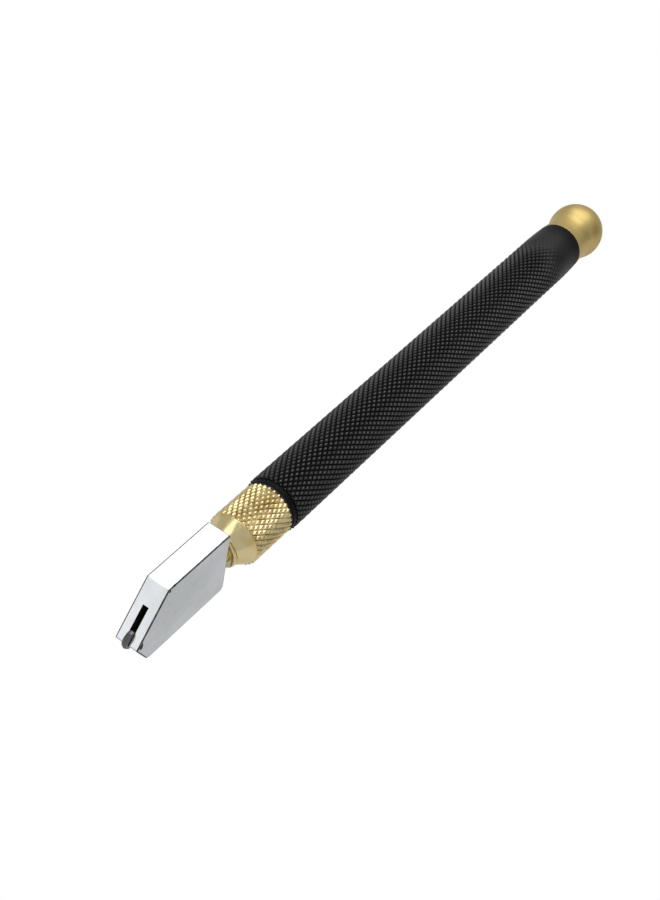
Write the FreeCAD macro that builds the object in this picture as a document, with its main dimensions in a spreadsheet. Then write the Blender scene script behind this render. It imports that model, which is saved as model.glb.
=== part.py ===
import FreeCAD, Part
import math
import os
import re

import PartDesign
import Sketcher

# Oil-feed glass cutter, in millimetres. Each sub-part is drawn in the tool's own frame, with the
# X axis along the tool, X = 0 at the collar's rear face and the ball end at +X. One placement then
# stands the tool on the flat underside of its head, with the origin under the middle of its box.

SIZES = {
    # barrel, which is also the oil tank
    "barrel_dia": 12.7,
    "barrel_length": 120.1,
    "barrel_wall": 1.75,
    "rim_drop": 0.3,
    "rim_length": 0.75,
    "tail_drop": 0.3,
    "taper_length": 9.0,
    # screwed joints at both ends of the barrel, drawn as plain cylinders
    "thread_step": 0.4,
    "thread_gap": 0.05,
    "thread_run_out": 1.0,
    "spigot_chamfer": 0.3,
    # rubber ring between collar and barrel
    "gasket_inset": 0.1,
    "gasket_thickness": 0.5,
    "gasket_gap": 0.1,
    # brass collar
    "collar_step": 0.35,
    "collar_length": 11.0,
    "cone_step": 0.25,
    "cone_length": 3.5,
    "nose_wall": 1.41,
    "groove_depth": 0.4,
    "groove_width": 0.2,
    "lip_rise": 0.1,
    "lip_width": 0.7,
    "lip_round": 0.4,
    "collar_spigot_length": 8.5,
    "seat_width": 1.31,
    "seat_depth": 6.0,
    "relief_step": 0.51,
    "relief_length": 1.2,
    # stem of the head
    "stem_dia": 4.5,
    "stem_gap": 0.04,
    "stem_bore_dia": 1.6,
    "tenon_dia": 3.2,
    "tenon_length": 6.0,
    "neck_gap": 1.1,
    "flange_gap": 0.3,
    "flange_thickness": 1.0,
    "pilot_length": 2.4,
    "port_dia": 1.0,
    # motion of the head
    "press_travel": 0.6,
    "swivel_angle": 12.0,
    # seals
    "stem_seal_wire": 0.8,
    "stem_seal_offset": 2.8,
    "cap_seal_wire": 0.85,
    "cap_seal_offset": 1.7,
    "seal_gap": 0.02,
    "valve_seal_thickness": 1.05,
    # lock screw, in the collar's underside
    "lock_station": 9.0,
    "lock_dia": 2.0,
    "lock_nose_dia": 1.2,
    "lock_nose_reach": 0.9,
    "lock_sink": 0.5,
    "lock_slot_width": 0.4,
    "lock_slot_depth": 0.7,
    "lock_gap": 0.05,
    "lock_floor_gap": 0.25,
    # valve spring, its washer and its plug
    "washer_thickness": 0.5,
    "washer_gap": 0.1,
    "spring_wire": 0.6,
    "spring_side_gap": 0.8,
    "spring_turns": 5.5,
    "spring_end_gap": 0.1,
    "pilot_side_gap": 0.9,
    "plug_length": 3.2,
    "plug_oil_dia": 2.0,
    "plug_slot_width": 0.8,
    "plug_slot_depth": 0.8,
    "plug_gap": 0.05,
    # head block
    "head_width": 5.3,
    "head_height": 15.76,
    "top_length": 18.1,
    "tip_reach": 26.07,
    "tip_drop": 2.51,
    "toe_reach": 22.7,
    "heel_radius": 1.0,
    "toe_radius": 1.4,
    "shoulder_radius": 0.5,
    "brow_radius": 0.4,
    "tip_radius": 0.4,
    "edge_round": 0.22,
    "passage_dia": 1.2,
    "slot_length": 8.2,
    "slot_side_gap": 0.12,
    "slot_back_gap": 0.45,
    # wheel and its axle
    "wheel_dia": 4.2,
    "wheel_width": 1.1,
    "wheel_edge_drop": 0.23,
    "wheel_up": 1.13,
    "wheel_setback": 0.65,
    "axle_dia": 0.9,
    "axle_gap": 0.03,
    "axle_recess": 0.1,
    "axle_chamfer": 0.1,
    # oil wick
    "wick_side_gap": 0.05,
    "wick_end_gap": 0.3,
    # end cap
    "ball_rise": 0.49,
    "cap_rim_inset": 0.05,
    "cap_rim_width": 0.5,
    "cap_neck_inset": 0.2,
    "cap_neck_step": 0.3,
    "cap_neck_length": 3.56,
    "cap_neck_round": 5.0,
    "cap_spigot_length": 8.0,
}

# What follows from the sizes. Along the tool these are X values, and heights are from the tool's axis.
PLACES = {
    # radii about the tool's axis, from the outside in
    "barrel_radius": "barrel_dia / 2",
    "rim_radius": "barrel_radius - rim_drop",
    "tail_radius": "barrel_radius - tail_drop",
    "taper_radius": "(taper_length ^ 2 + tail_drop ^ 2) / (2 * tail_drop)",
    "reservoir_radius": "barrel_radius - barrel_wall",
    "thread_radius": "reservoir_radius + thread_step",
    "spigot_radius": "thread_radius - thread_gap",
    "collar_radius": "barrel_radius - collar_step",
    "cone_base_radius": "collar_radius - cone_step",
    "gasket_radius": "collar_radius - gasket_inset",
    "stem_radius": "stem_dia / 2",
    "guide_radius": "stem_radius + stem_gap",
    "cone_tip_radius": "guide_radius + nose_wall",
    "groove_radius": "cone_tip_radius - groove_depth",
    "lip_base_radius": "cone_tip_radius + lip_rise - lip_round",
    "relief_radius": "guide_radius + relief_step",
    "chamber_radius": "guide_radius + seat_width",
    "collar_chamfer": "min(spigot_chamfer; (spigot_radius - chamber_radius) / 2)",
    "flange_radius": "chamber_radius - flange_gap",
    "spring_radius": "chamber_radius - spring_side_gap - spring_wire / 2",
    "pilot_radius": "spring_radius - spring_wire / 2 - pilot_side_gap",
    "stem_seal_groove": "stem_radius - stem_seal_wire + seal_gap",
    "cap_seal_groove": "spigot_radius - cap_seal_wire + seal_gap",
    # places along the tool, from the ball end's joint to the head's tip
    "barrel_front": "gasket_thickness",
    "barrel_rear": "barrel_front + barrel_length",
    "front_bore_end": "collar_spigot_length + thread_run_out",
    "rear_bore_end": "barrel_rear - cap_spigot_length - thread_run_out",
    "cap_seal_place": "barrel_rear - cap_seal_offset",
    "plug_front": "collar_spigot_length - plug_length",
    "spring_length": "plug_front - washer_rear - 2 * spring_end_gap",
    "washer_rear": "flange_rear + washer_thickness",
    "pilot_end": "flange_rear + pilot_length",
    "flange_rear": "flange_front + flange_thickness",
    "flange_front": "valve_seat + valve_seal_thickness",
    "valve_seat": "-seat_depth",
    "relief_front": "valve_seat - relief_length",
    "port_place": "relief_front + relief_length / 2",
    "bore_end": "port_place + port_dia / 2",
    "cone_front": "-(collar_length + cone_length)",
    "lip_rear": "cone_front - groove_width",
    "collar_nose": "lip_rear - lip_width",
    "stem_seal_place": "collar_nose + stem_seal_offset",
    "head_back": "collar_nose - neck_gap",
    "stem_front": "head_back - tenon_length",
    "tip": "head_back - tip_reach",
    # lock screw's nose and the pocket that it stands in
    "lock_nose_end": "stem_radius - lock_nose_reach",
    "lock_pocket_floor": "lock_nose_end - lock_floor_gap",
    "lock_pocket_side": "stem_radius * sin(swivel_angle) + lock_nose_dia / 2 + lock_gap",
    # head's slanted face, the wheel in it and the slot
    "head_top": "head_height / 2",
    "face_run": "tip_reach - top_length",
    "face_fall": "head_top + tip_drop",
    "face_length": "sqrt(face_run ^ 2 + face_fall ^ 2)",
    "along_x": "face_run / face_length",
    "along_z": "face_fall / face_length",
    "wheel_x": "tip + wheel_up * along_x + wheel_setback * along_z",
    "wheel_z": "wheel_up * along_z - wheel_setback * along_x - tip_drop",
    "slot_width": "wheel_width + 2 * slot_side_gap",
    "slot_depth": "wheel_dia / 2 + wheel_setback + slot_back_gap",
    "slot_floor_on_axis": "tip + (slot_depth + tip_drop * along_x) / along_z",
    # ball and its neck
    "ball_radius": "barrel_radius + ball_rise",
    "cap_rim_radius": "tail_radius - cap_rim_inset",
    "cap_neck_radius": "tail_radius - cap_neck_inset",
    "round_reach": "ball_radius + cap_neck_round",
    "round_height": "cap_neck_radius + cap_neck_round",
    "round_back": "sqrt(round_reach ^ 2 - round_height ^ 2)",
    "ball_share": "ball_radius / round_reach",
    "neck_start": "barrel_rear + cap_rim_width + cap_neck_step",
    "neck_end": "neck_start + cap_neck_length",
    "ball_place": "neck_end + round_back",
    "ball_end": "ball_place + ball_radius",
    "middle": "(ball_end + wheel_x - wheel_dia / 2) / 2",
}

doc = FreeCAD.newDocument("glass_cutter")
sheet = doc.addObject("Spreadsheet::Sheet", "dims")
for row, (alias, size) in enumerate(SIZES.items(), start=1):
    sheet.set(f"A{row}", alias)
    sheet.set(f"B{row}", str(size))
    sheet.setAlias(f"B{row}", alias)
doc.recompute()


def formula(text):
    """The text as an expression on the sheet, with each place replaced by what it follows from."""

    def written_out(word):
        name = word.group(0)
        if name in PLACES:
            return "(" + formula(PLACES[name]) + ")"
        return "dims." + name if name in SIZES else name

    return re.sub(r"[a-z_]+", written_out, str(text))


def value(text):
    """What a formula comes to now, in millimetres."""
    return float(sheet.evalExpression(formula(text)))


def new_body(name, across="0", along="0"):
    """An empty body, stood in the row's frame. across is its height off the tool's axis."""
    body = doc.addObject("PartDesign::Body", name)
    body.Label = name
    body.setExpression(".Placement.Base.x", formula(f"{along} - middle"))
    body.setExpression(".Placement.Base.z", formula(f"head_height / 2 + {across}"))
    return body


def new_sketch(body, role="XZ_Plane", offset="0"):
    """An empty sketch on one of the body's own planes."""
    sketch = body.newObject("Sketcher::SketchObject", f"{body.Name}_sketch")
    plane = [o for o in body.Origin.OriginFeatures if o.Role == role][0]
    sketch.AttachmentSupport = [(plane, "")]
    sketch.MapMode = "FlatFace"
    sketch.setExpression(".AttachmentOffset.Base.z", formula(offset))
    return sketch


def bind(sketch, constraint, text):
    """Adds a constraint whose value follows a formula."""
    number = sketch.addConstraint(Sketcher.Constraint(*constraint, value(text)))
    sketch.setExpression(f"Constraints[{number}]", formula(text))


def arc_between(start, end, radius, turn):
    """An arc from start to end. turn is 1 where the path bends left along it and -1 where it bends right."""
    chord = end - start
    half = chord.Length / 2
    rise = math.sqrt(max(radius**2 - half**2, 0))
    left = FreeCAD.Vector(-chord.y, chord.x, 0).normalize()
    centre = start + chord * 0.5 + left * rise * turn
    first, last = (start, end) if turn > 0 else (end, start)
    circle = Part.Circle(centre, FreeCAD.Vector(0, 0, 1), radius)
    return Part.ArcOfCircle(circle, circle.parameter(first), circle.parameter(last))


def outline(sketch, corners, arcs=None):
    """A closed outline through the corners, each a pair of formulas. arcs gives the radius and the
    bend, 1 left or -1 right, of each side that is round, by the number of the corner it starts at."""
    arcs = arcs or {}
    points = [FreeCAD.Vector(value(x), value(y), 0) for x, y in corners]
    starts, ends = [], []
    for i, point in enumerate(points):
        following = points[(i + 1) % len(points)]
        if i in arcs:
            radius, turn = arcs[i]
            sketch.addGeometry(arc_between(point, following, value(radius), turn))
            starts.append(1 if turn > 0 else 2)
            ends.append(2 if turn > 0 else 1)
        else:
            sketch.addGeometry(Part.LineSegment(point, following))
            starts.append(1)
            ends.append(2)
    for i in range(len(points)):
        following = (i + 1) % len(points)
        sketch.addConstraint(
            Sketcher.Constraint("Coincident", i, ends[i], following, starts[following])
        )
    for i, (x, y) in enumerate(corners):
        bind(sketch, ("DistanceX", -1, 1, i, starts[i]), x)
        bind(sketch, ("DistanceY", -1, 1, i, starts[i]), y)
    for i, (radius, _) in arcs.items():
        bind(sketch, ("Radius", i), radius)


def circle(sketch, x, y, radius):
    """A circle at a place given by formulas."""
    centre = FreeCAD.Vector(value(x), value(y), 0)
    number = sketch.addGeometry(
        Part.Circle(centre, FreeCAD.Vector(0, 0, 1), value(radius))
    )
    bind(sketch, ("DistanceX", -1, 1, number, 3), x)
    bind(sketch, ("DistanceY", -1, 1, number, 3), y)
    bind(sketch, ("Radius", number), radius)


def box_corners(left, right, low, high):
    """The four corners of an upright box, from its sides."""
    return [(left, low), (right, low), (right, high), (left, high)]


def feature(body, kind, sketch, **settings):
    """A PartDesign feature made from a sketch."""
    made = body.newObject(f"PartDesign::{kind}", f"{body.Name}_{kind.lower()}")
    made.Profile = sketch
    for name, setting in settings.items():
        setattr(made, name, setting)
    sketch.Visibility = False
    doc.recompute()
    return made


def turned(body, corners, arcs=None, axis="H_Axis", role="XZ_Plane"):
    """A turned solid: the outline spun about an axis of its sketch."""
    sketch = new_sketch(body, role)
    outline(sketch, corners, arcs)
    return feature(body, "Revolution", sketch, ReferenceAxis=(sketch, [axis]))


def cut(body, sketch, length=None, both=True, reverse=False):
    """Cuts a sketch out of the body, and stops if nothing was cut. With no length it cuts right through."""
    before = body.Shape.Volume
    made = feature(
        body,
        "Pocket",
        sketch,
        SideType="Symmetric" if both else "One side",
        Type="ThroughAll" if length is None else "Length",
        Reversed=reverse,
    )
    if length is not None:
        made.setExpression("Length", formula(length))
        doc.recompute()
    if body.Shape.Volume > before - 1e-4:
        raise RuntimeError(f"{made.Name} cuts nothing")
    return made


def turned_cut(body, corners):
    """Cuts a bore: the outline spun about the tool's axis."""
    before = body.Shape.Volume
    sketch = new_sketch(body)
    outline(sketch, corners)
    feature(body, "Groove", sketch, ReferenceAxis=(sketch, ["H_Axis"]))
    if body.Shape.Volume > before - 1e-4:
        raise RuntimeError(f"a bore of {body.Name} cuts nothing")


def rounded(body, radius, wanted):
    """Rounds the edges of the body that wanted picks by their ends."""
    base = body.Tip
    edges = [
        f"Edge{i}"
        for i, edge in enumerate(base.Shape.Edges, start=1)
        if wanted([v.Point for v in edge.Vertexes])
    ]
    if not edges:
        raise RuntimeError(f"no edge of {body.Name} to round by {radius}")
    made = body.newObject("PartDesign::Fillet", f"{body.Name}_round")
    made.Base = (base, edges)
    made.setExpression("Radius", formula(radius))
    base.Visibility = False
    doc.recompute()


def ring(name, front, rear, inner, outer):
    """A plain ring about the tool's axis, between two places along it."""
    turned(new_body(name), box_corners(front, rear, inner, outer))


def round_ring(name, along, inner, wire):
    """An O-ring about the tool's axis."""
    body = new_body(name)
    sketch = new_sketch(body)
    circle(sketch, along, f"{inner} + ({wire}) / 2", f"({wire}) / 2")
    feature(body, "Revolution", sketch, ReferenceAxis=(sketch, ["H_Axis"]))


def barrel_tube():
    """The black barrel: a tube with a chamfered rim, a long soft taper at its tail and a bore at each
    end for a screwed spigot."""
    corners = [
        ("barrel_front", "thread_radius"),
        ("barrel_front", "rim_radius"),
        ("barrel_front + rim_length", "barrel_radius"),
        ("barrel_rear - taper_length", "barrel_radius"),
        ("barrel_rear", "tail_radius"),
        ("barrel_rear", "thread_radius"),
        ("rear_bore_end", "thread_radius"),
        ("rear_bore_end", "reservoir_radius"),
        ("front_bore_end", "reservoir_radius"),
        ("front_bore_end", "thread_radius"),
    ]
    turned(new_body("barrel_tube"), corners, {3: ("taper_radius", -1)})


def nose_collar():
    """The brass collar: a lipped nose and a cone, a cylinder that carries the knurl, and a spigot that
    screws into the barrel. Inside are the stem's guide, an oil relief and the spring's chamber."""
    body = new_body("nose_collar")
    corners = [
        ("collar_nose", "guide_radius"),
        ("collar_nose", "lip_base_radius"),
        ("lip_rear", "lip_base_radius"),
        ("lip_rear", "groove_radius"),
        ("cone_front", "groove_radius"),
        ("cone_front", "cone_tip_radius"),
        ("-collar_length", "cone_base_radius"),
        ("-collar_length", "collar_radius"),
        ("0", "collar_radius"),
        ("0", "spigot_radius"),
        ("collar_spigot_length - collar_chamfer", "spigot_radius"),
        ("collar_spigot_length", "spigot_radius - collar_chamfer"),
        ("collar_spigot_length", "chamber_radius"),
        ("valve_seat", "chamber_radius"),
        ("valve_seat", "relief_radius"),
        ("relief_front", "relief_radius"),
        ("relief_front", "guide_radius"),
    ]
    turned(body, corners, {1: ("lip_round", -1)})
    sketch = new_sketch(body, "XY_Plane")
    circle(sketch, "-lock_station", "0", "lock_dia / 2")
    cut(body, sketch, both=False)


def head_stem():
    """The stem: a tenon that is pressed into the head, a long journal with a seal groove, a flange that
    carries the valve seal and a pilot for the washer. Oil enters at a cross port and leaves in front."""
    body = new_body("head_stem")
    groove_half = "(stem_seal_wire / 2 + seal_gap)"
    corners = [
        ("stem_front", "stem_bore_dia / 2"),
        ("stem_front", "tenon_dia / 2"),
        ("head_back", "tenon_dia / 2"),
        ("head_back", "stem_radius"),
        (f"stem_seal_place - {groove_half}", "stem_radius"),
        (f"stem_seal_place - {groove_half}", "stem_seal_groove"),
        (f"stem_seal_place + {groove_half}", "stem_seal_groove"),
        (f"stem_seal_place + {groove_half}", "stem_radius"),
        ("flange_front", "stem_radius"),
        ("flange_front", "flange_radius"),
        ("flange_rear", "flange_radius"),
        ("flange_rear", "pilot_radius"),
        ("pilot_end", "pilot_radius"),
        ("pilot_end", "0"),
        ("bore_end", "0"),
        ("bore_end", "stem_bore_dia / 2"),
    ]
    turned(body, corners)
    port = new_sketch(body, "XY_Plane")
    circle(port, "port_place", "0", "port_dia / 2")
    cut(body, port)
    pocket = new_sketch(body, "XY_Plane", "-(lock_pocket_floor)")
    ahead = "-lock_station - lock_nose_dia / 2 - press_travel - lock_gap"
    behind = "-lock_station + lock_nose_dia / 2 + lock_gap"
    outline(
        pocket, box_corners(ahead, behind, "-(lock_pocket_side)", "lock_pocket_side")
    )
    cut(body, pocket, both=False)


def wheel_holder():
    """The head block: a flat plate with a slanted face down to its tip, a slot in that face for the
    wheel, a cross bore for the axle, and a socket with an oil passage from the stem to the slot."""
    body = new_body("wheel_holder")
    corners = [
        ("head_back", "head_top", "shoulder_radius"),
        ("head_back - top_length", "head_top", "brow_radius"),
        ("tip", "-tip_drop", "tip_radius"),
        ("head_back - toe_reach", "-(head_top)", "toe_radius"),
        ("head_back", "-(head_top)", "heel_radius"),
    ]
    sketch = new_sketch(body)
    outline(sketch, [(x, z) for x, z, _ in corners])
    pad = feature(body, "Pad", sketch, SideType="Symmetric")
    pad.setExpression("Length", formula("head_width"))
    doc.recompute()
    near = 0.01
    for x, z, radius in corners:
        place = (value(x), value(z))

        def at_corner(ends):
            return all(math.dist((e.x, e.z), place) < near for e in ends)

        rounded(body, radius, at_corner)
    side = value("head_width / 2") - near
    rounded(
        body,
        "edge_round",
        lambda ends: (
            all(e.y > side for e in ends) or all(e.y < -side for e in ends)
        ),
    )
    slot = new_sketch(body)
    over = "wheel_dia"
    slot_corners = []
    for up, inward in (
        ("slot_length", "-wheel_dia"),
        ("slot_length", "slot_depth"),
        (f"-{over}", "slot_depth"),
        (f"-{over}", "-wheel_dia"),
    ):
        slot_corners.append(
            (
                f"tip + {up} * along_x + {inward} * along_z",
                f"{up} * along_z - {inward} * along_x - tip_drop",
            )
        )
    outline(slot, slot_corners)
    cut(body, slot, "slot_width")
    bore = new_sketch(body)
    circle(bore, "wheel_x", "wheel_z", "axle_dia / 2")
    cut(body, bore)
    passage_end = "slot_floor_on_axis - passage_dia"
    turned_cut(
        body,
        [
            (passage_end, "0"),
            ("head_back", "0"),
            ("head_back", "tenon_dia / 2"),
            ("stem_front", "tenon_dia / 2"),
            ("stem_front", "passage_dia / 2"),
            (passage_end, "passage_dia / 2"),
        ],
    )


def on_the_axle(name, corners):
    """A piece turned about the wheel's own axle, which lies across the tool."""
    body = new_body(name, "wheel_z", "wheel_x")
    turned(body, corners, axis="V_Axis", role="XY_Plane")


def axle_pin():
    """The axle: a plain pin with broken ends, pressed into the head just below its side faces."""
    end = "(head_width / 2 - axle_recess)"
    on_the_axle(
        "axle_pin",
        [
            ("0", f"-{end}"),
            ("axle_dia / 2 - axle_chamfer", f"-{end}"),
            ("axle_dia / 2", f"axle_chamfer - {end}"),
            ("axle_dia / 2", f"{end} - axle_chamfer"),
            ("axle_dia / 2 - axle_chamfer", end),
            ("0", end),
        ],
    )


def cutting_wheel():
    """The wheel: a carbide disc with a bore that runs on the axle and a rim ground to a blunt V."""
    on_the_axle(
        "cutting_wheel",
        [
            ("axle_dia / 2 + axle_gap", "-wheel_width / 2"),
            ("wheel_dia / 2 - wheel_edge_drop", "-wheel_width / 2"),
            ("wheel_dia / 2", "0"),
            ("wheel_dia / 2 - wheel_edge_drop", "wheel_width / 2"),
            ("axle_dia / 2 + axle_gap", "wheel_width / 2"),
        ],
    )


def lock_screw():
    """The grub screw: a slotted barrel in the collar's wall and a plain nose in the stem's pocket."""
    body = new_body("lock_screw", along="-lock_station")
    inner = "-(guide_radius + lock_gap)"
    outer = "-(collar_radius - lock_sink)"
    turned(
        body,
        [
            ("0", "-(lock_nose_end)"),
            ("lock_nose_dia / 2", "-(lock_nose_end)"),
            ("lock_nose_dia / 2", inner),
            ("lock_dia / 2 - lock_gap", inner),
            ("lock_dia / 2 - lock_gap", outer),
            ("0", outer),
        ],
        axis="V_Axis",
    )
    sketch = new_sketch(body)
    outline(
        sketch,
        box_corners(
            "-lock_slot_width / 2",
            "lock_slot_width / 2",
            f"{outer} - lock_slot_depth",
            f"{outer} + lock_slot_depth",
        ),
    )
    cut(body, sketch)


def valve_spring():
    """The valve spring: a helix between the washer and the plug."""
    body = new_body("valve_spring")
    sketch = new_sketch(body)
    circle(
        sketch,
        "washer_rear + spring_end_gap + spring_wire / 2",
        "spring_radius",
        "spring_wire / 2",
    )
    coil = body.newObject("PartDesign::AdditiveHelix", "valve_spring_coil")
    coil.Profile = sketch
    coil.ReferenceAxis = (sketch, ["H_Axis"])
    coil.Mode = "height-turns-growth"
    coil.setExpression("Height", formula("spring_length - spring_wire"))
    coil.setExpression("Turns", formula("spring_turns"))
    sketch.Visibility = False
    doc.recompute()


def spring_plug():
    """The plug that holds the spring in: screwed into the collar's spigot, with an oil hole and a slot."""
    body = new_body("spring_plug")
    rear = "collar_spigot_length"
    outer = "chamber_radius - plug_gap"
    turned(body, box_corners("plug_front", rear, "plug_oil_dia / 2", outer))
    sketch = new_sketch(body)
    outline(
        sketch,
        box_corners(
            f"{rear} - plug_slot_depth",
            f"{rear} + plug_slot_depth",
            "-plug_slot_width / 2",
            "plug_slot_width / 2",
        ),
    )
    cut(body, sketch)


def oil_wick():
    """The cotton wick that fills the stem's bore as far as the cross port."""
    body = new_body("oil_wick")
    turned(
        body,
        box_corners(
            "stem_front",
            "bore_end - port_dia - wick_end_gap",
            "0",
            "stem_bore_dia / 2 - wick_side_gap",
        ),
    )


def end_cap():
    """The ball end: a spigot with a seal groove, a thin rim against the barrel, and a neck that runs
    into the ball through a soft round."""
    groove_half = "(cap_seal_wire / 2 + seal_gap)"
    ball_start = "ball_place - round_back * ball_share"
    spigot_end = "barrel_rear - cap_spigot_length"
    corners = [
        (spigot_end, "0"),
        (spigot_end, "spigot_radius - spigot_chamfer"),
        (f"{spigot_end} + spigot_chamfer", "spigot_radius"),
        (f"cap_seal_place - {groove_half}", "spigot_radius"),
        (f"cap_seal_place - {groove_half}", "cap_seal_groove"),
        (f"cap_seal_place + {groove_half}", "cap_seal_groove"),
        (f"cap_seal_place + {groove_half}", "spigot_radius"),
        ("barrel_rear", "spigot_radius"),
        ("barrel_rear", "cap_rim_radius"),
        ("barrel_rear + cap_rim_width", "cap_rim_radius"),
        ("neck_start", "cap_neck_radius"),
        ("neck_end", "cap_neck_radius"),
        (ball_start, "round_height * ball_share"),
        ("ball_end", "0"),
    ]
    rounds = {11: ("cap_neck_round", 1), 12: ("ball_radius", -1)}
    turned(new_body("end_cap"), corners, rounds)


barrel_tube()
nose_collar()
head_stem()
wheel_holder()
axle_pin()
cutting_wheel()
lock_screw()
valve_spring()
spring_plug()
oil_wick()
end_cap()
ring(
    "collar_gasket",
    "0",
    "gasket_thickness",
    "spigot_radius + gasket_gap",
    "gasket_radius",
)
ring(
    "thrust_washer",
    "flange_rear",
    "washer_rear",
    "pilot_radius + washer_gap",
    "flange_radius",
)
ring(
    "valve_seal",
    "valve_seat",
    "flange_front",
    "stem_radius + seal_gap",
    "flange_radius",
)
round_ring(
    "stem_seal",
    "stem_seal_place",
    "stem_seal_groove + seal_gap",
    "stem_seal_wire - 2 * seal_gap",
)
round_ring(
    "cap_seal",
    "cap_seal_place",
    "cap_seal_groove + seal_gap",
    "cap_seal_wire - 2 * seal_gap",
)
doc.recompute()

# Nothing is written unless every object is sound.
for part in doc.Objects:
    if "Invalid" in part.State or "Error" in part.State:
        raise RuntimeError(f"{part.Name} failed: {part.State}")
bodies = [o for o in doc.Objects if o.TypeId == "PartDesign::Body"]
for body in bodies:
    if body.Shape.isNull() or not body.Shape.isValid() or len(body.Shape.Solids) != 1:
        raise RuntimeError(f"{body.Label} isn't one sound solid")

os.makedirs("parts", exist_ok=True)
for body in bodies:
    body.Shape.exportStep(f"parts/{body.Label}.step")
    box = body.Shape.optimalBoundingBox()
    print(
        f"{body.Label}: X {box.XMin:.3f} to {box.XMax:.3f}, Y {box.YMin:.3f} to {box.YMax:.3f}, "
        f"Z {box.ZMin:.3f} to {box.ZMax:.3f}, {body.Shape.Volume:.2f} mm3"
    )
print(
    f"wheel axle at X {value('wheel_x - middle'):.4f}, Z {value('head_top + wheel_z'):.4f}"
)
print(f"tool frame's X = 0 is at X {value('-middle'):.4f}")
print(f"overall length {value('2 * (ball_end - middle)'):.3f}")
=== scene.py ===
# %% [markdown]
# # A glass cutter, dressed around its CAD frame
# The tool is a brass ball, a black knurled barrel full of oil, a knurled brass collar and a plated
# steel head that holds a tiny carbide wheel. Every size comes from the CAD model, which stays fixed.
# This notebook models the surfaces that show, gives each its finish, and lights them.

# %% Load the frame
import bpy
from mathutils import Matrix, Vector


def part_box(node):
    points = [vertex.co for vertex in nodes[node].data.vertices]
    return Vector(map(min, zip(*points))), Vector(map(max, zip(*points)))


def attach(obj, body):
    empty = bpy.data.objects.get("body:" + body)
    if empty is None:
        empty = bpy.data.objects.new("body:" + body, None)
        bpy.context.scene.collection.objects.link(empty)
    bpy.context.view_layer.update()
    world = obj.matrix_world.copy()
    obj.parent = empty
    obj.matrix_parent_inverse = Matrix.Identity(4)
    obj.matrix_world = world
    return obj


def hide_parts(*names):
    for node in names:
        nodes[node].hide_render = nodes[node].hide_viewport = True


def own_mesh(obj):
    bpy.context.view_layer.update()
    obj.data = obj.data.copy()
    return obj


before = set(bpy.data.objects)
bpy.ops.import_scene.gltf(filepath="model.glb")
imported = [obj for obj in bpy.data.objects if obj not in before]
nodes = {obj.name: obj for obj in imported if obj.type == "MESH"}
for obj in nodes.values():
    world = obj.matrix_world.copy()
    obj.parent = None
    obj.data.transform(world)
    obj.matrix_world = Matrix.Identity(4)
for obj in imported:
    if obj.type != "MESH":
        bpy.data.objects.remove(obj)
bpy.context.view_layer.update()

# %% Names used everywhere
import math

import bmesh
import bpy
from mathutils import Matrix, Vector

MM = 0.001


def span(node, axis=0):
    """How far a CAD node reaches along X, Y or Z (0, 1 or 2): its lowest and highest place."""
    low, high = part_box(node)
    return low[axis], high[axis]


axis_height = span("wheel_holder", 2)[1] / 2
print("the tool's axis is", round(axis_height / MM, 3), "mm above the floor")

# %% [markdown]
# ## Camera
# The tool lies from lower left to upper right, seen from above its head. A camera close to a small
# thing gives strong perspective: the ball is 110 mm further from it than the wheel and looks smaller.
# Only the place, the turn and the lens are set here, and depth of field stays off.

# %% Camera
lens = 61.25
camera_place = (-227.24 * MM, -102.62 * MM, 229.70 * MM)
camera_turn = [math.radians(a) for a in (45.1068, -8.5316, -54.6712)]
bpy.ops.object.camera_add(location=camera_place, rotation=camera_turn)
camera = bpy.context.object
camera.name = "camera"
camera.data.lens = lens
camera.data.clip_start = 10 * MM
bpy.context.scene.camera = camera
print("camera", round(camera.location.length, 3), "m from the origin, lens", lens)

# %% [markdown]
# ## Working in edit mode
# Every operator acts on whatever is selected, so each piece starts from an empty selection. Parts of
# a mesh are picked by where they are, which is what a person does by eye. The turned parts are made
# about the X axis at height 0, and moved up to the tool's own height when they are finished.

# %% Starting, picking and joining
def put_down():
    """Leaves edit mode and deselects everything."""
    if bpy.context.object and bpy.context.object.mode == "EDIT":
        bpy.ops.object.mode_set(mode="OBJECT")
    bpy.ops.object.select_all(action="DESELECT")


def take_up(piece):
    """Makes a piece the only one selected, and opens it in edit mode."""
    put_down()
    piece.select_set(True)
    bpy.context.view_layer.objects.active = piece
    bpy.ops.object.mode_set(mode="EDIT")


def middle(part):
    """The middle of a vertex, edge or face."""
    if isinstance(part, bmesh.types.BMVert):
        return part.co
    if isinstance(part, bmesh.types.BMEdge):
        return (part.verts[0].co + part.verts[1].co) / 2
    return part.calc_center_median()


def pick(kind, wanted):
    """In edit mode, selects the vertices, edges or faces that wanted says yes to."""
    bpy.ops.mesh.select_mode(type=kind)
    bpy.ops.mesh.select_all(action="DESELECT")
    data = bpy.context.object.data
    mesh = bmesh.from_edit_mesh(data)
    parts = {"VERT": mesh.verts, "EDGE": mesh.edges, "FACE": mesh.faces}[kind]
    chosen = [part for part in parts if wanted(part)]
    for part in chosen:
        part.select_set(True)
    bmesh.update_edit_mesh(data)
    return len(chosen)


def join(first, *others):
    """Joins pieces into the first one, and opens it in edit mode."""
    put_down()
    for piece in (first, *others):
        piece.select_set(True)
    bpy.context.view_layer.objects.active = first
    bpy.ops.object.join()
    take_up(first)
    return first


print("picking and joining ready")


# %% Modifiers
def apply_modifier(piece, kind, **settings):
    """Adds a modifier, sets it and applies it."""
    put_down()
    piece.select_set(True)
    bpy.context.view_layer.objects.active = piece
    modifier = piece.modifiers.new(kind.lower(), kind)
    for name, setting in settings.items():
        setattr(modifier, name, setting)
    bpy.ops.object.modifier_apply(modifier=modifier.name)
    return piece


print("modifiers are applied as soon as they are set")

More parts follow.
